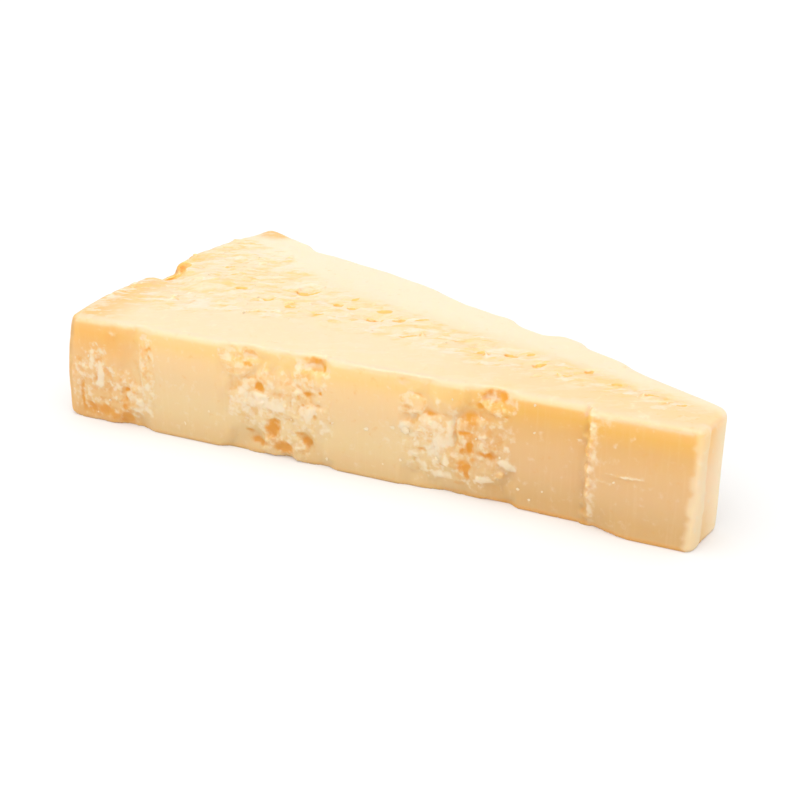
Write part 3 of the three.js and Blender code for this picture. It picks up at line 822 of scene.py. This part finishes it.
def paste_material(notes):
    """Hard paste aged until it breaks into grains. Where it was cut it is close and waxy, between
    straw yellow and orange, and light gets a few millimetres into it. Where it split, the tips of
    the grains are dry and pale, partly a painted highlight, and painted shade makes the creases and
    hollows between them deeper in colour and orange. Light and shade are also painted by height."""
    material, tree = new_material("aged_grana_paste")
    soft = {"interpolation_type": "SMOOTHSTEP"}
    colours = {"data_type": "RGBA"}

    place = add(tree, "ShaderNodeTexCoord").outputs["Object"]
    axes = add(tree, "ShaderNodeSeparateXYZ", {0: place}).outputs
    kept = {}
    for name in notes:
        kept[name] = add(tree, "ShaderNodeAttribute", attribute_name=name).outputs["Fac"]

    # Cut paste: orange under the rind, yellow in the middle, browner towards the tip. Here x and y
    # are from the middle of the CAD model.
    # Painted light and shade by height: darker towards the table, an orange glow at the foot and a
    # saturated band under the top edge
    height = add(tree, "ShaderNodeMapRange", {0: axes[2], 1: 0.0, 2: THICKNESS * MM})
    by_height = {}
    other_colours = {"hollows": HOLLOW_SHADE_COLOURS, "pale": PALE_AND_HIGHLIGHT_COLOURS, "brink_highlight": BRINK_HIGHLIGHT_COLOURS}
    for part, stops in {**PASTE_LIGHT_AND_SHADE_COLOURS, **other_colours}.items():
        by_height[part] = add(tree, "ShaderNodeValToRGB", {0: height})
        elements = by_height[part].color_ramp.elements
        for element, (level, code) in zip(elements, (stops[0], stops[-1])):
            element.position = level / THICKNESS
            element.color = srgb(code)
        for level, code in stops[1:-1]:
            elements.new(level / THICKNESS).color = srgb(code)
    past_rind = {0: axes[0], 1: -72.0 * MM, 2: -54.0 * MM}
    past_rind = add(tree, "ShaderNodeMapRange", past_rind, **soft)
    cut = {0: past_rind, 6: by_height["rind end"], 7: by_height["middle"]}
    cut = add(tree, "ShaderNodeMix", cut, **colours)
    to_tip = add(tree, "ShaderNodeMapRange", {0: axes[0], 1: 18.0 * MM, 2: 41.0 * MM}, **soft)
    cut = add(tree, "ShaderNodeMix", {0: to_tip, 6: cut, 7: by_height["narrow end"]}, **colours)
    far_side = {0: axes[1], 1: -43.5 * MM, 2: -34.0 * MM, 4: 0.75}
    far_side = add(tree, "ShaderNodeMapRange", far_side, **soft)
    tip = add(tree, "ShaderNodeMix", {0: far_side, 6: by_height["tip"], 7: "#ffe5c0"}, **colours)
    cut = add(tree, "ShaderNodeMix", {0: kept["tip"], 6: cut, 7: tip}, **colours)

    # Faint upright streaks that the knife drew, 0.9 mm apart
    upright = add(tree, "ShaderNodeMapping", {0: place, 3: (1.0, 1.0, 0.06)})
    drawn = {"Vector": upright, "Scale": 1.0 / (0.9 * MM), "Detail": 2.0}
    streaks = add(tree, "ShaderNodeTexNoise", drawn)
    streak_share = add(tree, "ShaderNodeMapRange", {0: streaks, 1: 0.5, 2: 0.8, 4: 0.1}, **soft)
    cut = add(tree, "ShaderNodeMix", {0: streak_share, 6: cut, 7: "#efd9b0"}, **colours)

    # Grains of 1.6 and 2.8 mm in the split zones and a little past their borders: pale flecks and
    # crests, the crests partly a painted highlight, fewer near the table, and deeper creases, with
    # painted shade in the grooves and dips
    fine = {"Vector": place, "Scale": 1.0 / (1.6 * MM), "Detail": 2.5, "Roughness": 0.5}
    grain = add(tree, "ShaderNodeTexNoise", fine)
    broad = {"Vector": place, "Scale": 1.0 / (2.8 * MM), "Detail": 3.0, "Roughness": 0.55}
    coarse = add(tree, "ShaderNodeTexNoise", broad)
    ragged = add(tree, "ShaderNodeMath", {0: kept["split"], 1: grain}, operation="ADD")
    zone = add(tree, "ShaderNodeMapRange", {0: ragged, 1: 0.7, 2: 1.2}, **soft)
    off_foot = {0: axes[2], 1: 0.5 * MM, 2: 3.5 * MM, 3: 0.2}
    off_foot = add(tree, "ShaderNodeMapRange", off_foot, **soft)
    fleck = add(tree, "ShaderNodeMapRange", {0: grain, 1: 0.44, 2: 0.68, 4: 0.65}, **soft)
    crest_highlight = add(tree, "ShaderNodeMapRange", {0: kept["proud"], 1: 0.02, 2: 0.25, 4: 0.5}, **soft)
    pale = add(tree, "ShaderNodeMath", {0: fleck, 1: crest_highlight}, operation="MAXIMUM")
    pale = add(tree, "ShaderNodeMath", {0: pale, 1: off_foot}, operation="MULTIPLY")
    pale = add(tree, "ShaderNodeMath", {0: pale, 1: zone}, operation="MULTIPLY")
    paste = add(tree, "ShaderNodeMix", {0: pale, 6: cut, 7: by_height["pale"]}, **colours)
    crease = add(tree, "ShaderNodeMapRange", {0: coarse, 1: 0.48, 2: 0.32, 4: 0.5}, **soft)
    groove_shade = {0: kept["proud"], 1: -0.03, 2: -0.3, 4: 0.95}
    groove_shade = add(tree, "ShaderNodeMapRange", groove_shade, **soft)
    dip_shade = add(tree, "ShaderNodeMapRange", {0: kept["sunk"], 1: 0.03, 2: 0.3, 4: 0.9}, **soft)
    deep_tone_and_shade = add(tree, "ShaderNodeMath", {0: crease, 1: groove_shade}, operation="MAXIMUM")
    deep_tone_and_shade = add(tree, "ShaderNodeMath", {0: deep_tone_and_shade, 1: dip_shade}, operation="MAXIMUM")
    deep_tone_and_shade = add(tree, "ShaderNodeMath", {0: deep_tone_and_shade, 1: zone}, operation="MULTIPLY")
    # Painted shade: the grooves and broad dips of the surface are multiplied deeper in colour,
    # along with the creases of the grain
    deepened = {0: deep_tone_and_shade, 6: paste, 7: "#fce3b4"}
    paste = add(tree, "ShaderNodeMix", deepened, blend_type="MULTIPLY", **colours)

    # Top face: dry and pale, warmer towards the rind, with flakes of 1.5 to 4 mm along the middle
    turned_place = add(tree, "ShaderNodeMapping", {0: place, 2: (0.0, 0.0, -GRAIN_TURN)})
    lengthways = add(tree, "ShaderNodeMapping", {0: turned_place, 3: (0.45, 1.0, 1.0)})
    fine = {"Vector": lengthways, "Scale": 1.0 / (1.5 * MM), "Detail": 3.0, "Roughness": 0.55}
    fine_flakes = add(tree, "ShaderNodeTexNoise", fine)
    wobble = {0: fine_flakes.outputs["Color"], 1: (2.0 * MM, 2.0 * MM, 2.0 * MM), 2: lengthways}
    wobble = add(tree, "ShaderNodeVectorMath", wobble, operation="MULTIPLY_ADD")
    each = add(tree, "ShaderNodeTexVoronoi", {"Vector": wobble, "Scale": 1.0 / (2.0 * MM)})
    each = add(tree, "ShaderNodeSeparateColor", {0: each.outputs["Color"]}).outputs[0]
    each = add(tree, "ShaderNodeMapRange", {0: each, 3: 0.3, 4: 0.7})
    flakes = add(tree, "ShaderNodeMix", {0: 0.6, 2: fine_flakes, 3: each})
    broad = {"Vector": lengthways, "Scale": 1.0 / (4.0 * MM), "Detail": 3.0, "Roughness": 0.6}
    patches = add(tree, "ShaderNodeTexNoise", broad)
    to_narrow = add(tree, "ShaderNodeMapRange", {0: axes[0], 1: 0.0, 2: 60.0 * MM}, **soft)
    near_rind = add(tree, "ShaderNodeMapRange", {0: kept["warm"]})
    whiter = add(tree, "ShaderNodeMapRange", {0: kept["warm"], 2: -1.0})
    flake_share = add(tree, "ShaderNodeMapRange", {0: flakes, 1: 0.5, 2: 0.64}, **soft)
    yellow_share = add(tree, "ShaderNodeMapRange", {0: patches, 1: 0.5, 2: 0.34, 4: 0.6}, **soft)
    # Painted shade: yellow between the flakes, where their sides would be shaded
    between = add(tree, "ShaderNodeMapRange", {0: flakes, 1: 0.46, 2: 0.34, 4: 0.8}, **soft)
    yellow_share = add(tree, "ShaderNodeMath", {0: yellow_share, 1: between}, operation="MAXIMUM")
    yellow_share = {0: yellow_share, 1: kept["band"]}
    yellow_share = add(tree, "ShaderNodeMath", yellow_share, operation="MULTIPLY")
    flaky = {0: near_rind, 1: 0.6, 2: kept["band"]}
    flaky = add(tree, "ShaderNodeMath", flaky, operation="MULTIPLY_ADD", use_clamp=True)
    most_flakes = add(tree, "ShaderNodeMapRange", {0: flaky, 3: 0.25, 4: 0.9})
    flake_share = {0: flake_share, 1: most_flakes}
    flake_share = add(tree, "ShaderNodeMath", flake_share, operation="MULTIPLY")
    dry = add(tree, "ShaderNodeMix", {0: to_narrow, 6: "#edd2ac", 7: "#edc99a"}, **colours)
    dry = add(tree, "ShaderNodeMix", {0: whiter, 6: dry, 7: "#f2e0c6"}, **colours)
    dry = add(tree, "ShaderNodeMix", {0: near_rind, 6: dry, 7: "#ecb978"}, **colours)
    dry = add(tree, "ShaderNodeMix", {0: yellow_share, 6: dry, 7: "#efc479"}, **colours)
    dry = add(tree, "ShaderNodeMix", {0: flake_share, 6: dry, 7: "#f1d9c0"}, **colours)
    # Painted shade: the shallow pits of the flaky band are yellower
    shallow_shade = {0: kept["proud"], 1: -0.02, 2: -0.15, 4: 0.7}
    shallow_shade = add(tree, "ShaderNodeMapRange", shallow_shade, **soft)
    shallow_shade = add(tree, "ShaderNodeMath", {0: shallow_shade, 1: flaky}, operation="MULTIPLY")
    dry = add(tree, "ShaderNodeMix", {0: shallow_shade, 6: dry, 7: "#efbf6e"}, **colours)
    paste = add(tree, "ShaderNodeMix", {0: kept["top"], 6: paste, 7: dry}, **colours)
    # The worn edges along the front's top and up the tip are paler, partly a painted highlight of
    # the rounded edge
    brink_highlight = add(tree, "ShaderNodeMath", {0: kept["brink_highlight"], 1: 0.75}, operation="MULTIPLY")
    paste = add(tree, "ShaderNodeMix", {0: brink_highlight, 6: paste, 7: by_height["brink_highlight"]}, **colours)

    # The larger lumps are paler, partly dry paste and partly a painted highlight; the hollows and
    # broken walls get painted shade, the saturated orange of light scattered in them; and the grain
    # sways their outlines
    sway = add(tree, "ShaderNodeMath", {0: grain, 1: coarse}, operation="ADD")
    sway = add(tree, "ShaderNodeMath", {0: sway, 1: 1.0}, operation="SUBTRACT")
    swayed = {0: sway, 1: 1.2, 2: kept["form"]}
    swayed = add(tree, "ShaderNodeMath", swayed, operation="MULTIPLY_ADD")
    lump = add(tree, "ShaderNodeMapRange", {0: swayed, 1: 0.1, 2: 0.8, 4: 0.85}, **soft)
    lump = add(tree, "ShaderNodeMath", {0: lump, 1: off_foot}, operation="MULTIPLY")
    hollow = add(tree, "ShaderNodeMapRange", {0: swayed, 1: -0.15, 2: -1.2}, **soft)
    paste = add(tree, "ShaderNodeMix", {0: lump, 6: paste, 7: by_height["pale"]}, **colours)
    paste = add(tree, "ShaderNodeMix", {0: hollow, 6: paste, 7: by_height["hollows"]}, **colours)
    # Painted shade: the slots between the flakes are deep yellow, and the chip by the rind takes
    # the same colour
    swayed = {0: sway, 1: 0.8, 2: kept["slot"]}
    swayed = add(tree, "ShaderNodeMath", swayed, operation="MULTIPLY_ADD")
    slot = add(tree, "ShaderNodeMapRange", {0: swayed, 1: 0.3, 2: 0.9, 4: 0.9}, **soft)
    paste = add(tree, "ShaderNodeMix", {0: slot, 6: paste, 7: "#edba5f"}, **colours)

    # The rind is hard and darker, finely mottled, with a few brown spots of 3 mm
    spotted = {"Vector": place, "Scale": 1.0 / (3.0 * MM), "Detail": 4.0, "Roughness": 0.6}
    spots = add(tree, "ShaderNodeTexNoise", spotted)
    spot_share = add(tree, "ShaderNodeMapRange", {0: spots, 1: 0.54, 2: 0.76, 4: 0.55}, **soft)
    mottled = add(tree, "ShaderNodeMapRange", {0: coarse, 1: 0.3, 2: 0.7}, **soft)
    rind = add(tree, "ShaderNodeMix", {0: mottled, 6: "#d7a561", 7: "#dfb16f"}, **colours)
    rind = add(tree, "ShaderNodeMix", {0: spot_share, 6: rind, 7: "#b9803f"}, **colours)
    paste = add(tree, "ShaderNodeMix", {0: kept["rind"], 6: paste, 7: rind}, **colours)

    # A soft waxy sheen, with a faint relief of grains and flakes. Light goes in by 2.2 mm, and
    # red light the farthest.
    flake_height = add(tree, "ShaderNodeMapRange", {0: flakes, 4: 2.0})
    relief = add(tree, "ShaderNodeMix", {0: kept["band"], 2: grain, 3: flake_height})
    bump = {"Strength": 0.15, "Distance": 0.25 * MM, "Height": relief}
    finish = {
        "Base Color": paste, "Roughness": 0.52, "IOR": 1.45,
        "Normal": add(tree, "ShaderNodeBump", bump), "Subsurface Weight": 1.0,
        "Subsurface Radius": (1.0, 0.75, 0.5), "Subsurface Scale": 2.2 * MM,
    }
    shader = add(tree, "ShaderNodeBsdfPrincipled", finish)
    add(tree, "ShaderNodeOutputMaterial", {"Surface": shader})
    return material


def crumb_material():
    """Loose crumbs of the same paste. They have dried right through, so they are paler and
    duller, with fine speckles of 0.8 mm."""
    material, tree = new_material("dry_grana_crumb")
    place = add(tree, "ShaderNodeTexCoord").outputs["Object"]
    speckled = {"Vector": place, "Scale": 1.0 / (0.8 * MM), "Detail": 2.0}
    speckle = add(tree, "ShaderNodeTexNoise", speckled)
    colour = {0: speckle, 6: "#e6cfa4", 7: "#efddbe"}
    colour = add(tree, "ShaderNodeMix", colour, data_type="RGBA")
    finish = {"Base Color": colour, "Roughness": 0.9, "IOR": 1.45}
    shader = add(tree, "ShaderNodeBsdfPrincipled", finish)
    add(tree, "ShaderNodeOutputMaterial", {"Surface": shader})
    return material


def card_material():
    """Matt white card for the table. It glows a little, which stands for the light of a wide
    white room."""
    material, tree = new_material("matt_white_card")
    finish = {
        "Base Color": "#dadada", "Roughness": 1.0, "Specular IOR Level": 0.0,
        "Emission Color": "#ffffff", "Emission Strength": 0.15,
    }
    shader = add(tree, "ShaderNodeBsdfPrincipled", finish)
    add(tree, "ShaderNodeOutputMaterial", {"Surface": shader})
    return material


def direction(azimuth, elevation):
    """Towards a light or camera: azimuth 0 is straight in front, and it turns to the right."""
    azimuth, elevation = math.radians(azimuth), math.radians(elevation)
    flat = math.cos(elevation)
    return Vector((math.sin(azimuth) * flat, -math.cos(azimuth) * flat, math.sin(elevation)))


def studio():
    """A faintly lit white table under a very wide soft light, with white walls all round."""
    bpy.ops.object.select_all(action="DESELECT")
    bpy.ops.mesh.primitive_plane_add(size=TABLE_WIDTH * MM, location=(0.0, 0.0, low.z))
    table = bpy.context.active_object
    table.name = "white_table"
    table.data.materials.append(card_material())
    world = bpy.data.worlds.new("white_walls")
    bpy.context.scene.world = world
    world.use_nodes = True
    walls = world.node_tree.nodes["Background"].inputs
    walls["Color"].default_value = srgb("#ffffff")
    walls["Strength"].default_value = WALLS_ENERGY
    bpy.ops.object.light_add(type="SUN")
    soft_light = bpy.context.active_object
    towards = direction(0.0, LIGHT_ELEVATION)
    soft_light.rotation_euler = towards.to_track_quat("Z", "Y").to_euler()
    soft_light.data.energy = LIGHT_ENERGY
    soft_light.data.angle = math.radians(LIGHT_WIDTH)
    bpy.context.scene.view_settings.view_transform = "Standard"


def camera():
    """The photograph's view."""
    target = corner + Vector(VIEW_CENTRE) * MM
    away = direction(VIEW_AZIMUTH, VIEW_ELEVATION)
    bpy.ops.object.camera_add(location=target + away * VIEW_DISTANCE * MM)
    view = bpy.context.active_object
    view.rotation_euler = away.to_track_quat("Z", "Y").to_euler()
    view.data.lens = LENS
    view.data.sensor_width = 36.0
    view.data.clip_start = 10.0 * MM
    bpy.context.scene.camera = view


camera()
studio()
models = [crumb_model(number, 2) for number in range(CRUMB_SHAPES)]
small_models = [crumb_model(number, 1) for number in range(CRUMB_SHAPES)]
wedge = build_wedge(models)
notes = mark(wedge)
wedge.data.materials.clear()
wedge.data.materials.append(paste_material(notes))
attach(wedge, "root")
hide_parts("cheese_wedge")
crumbs = build_stuck_crumbs(wedge, small_models)
crumbs.data.materials.append(crumb_material())
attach(crumbs, "root")
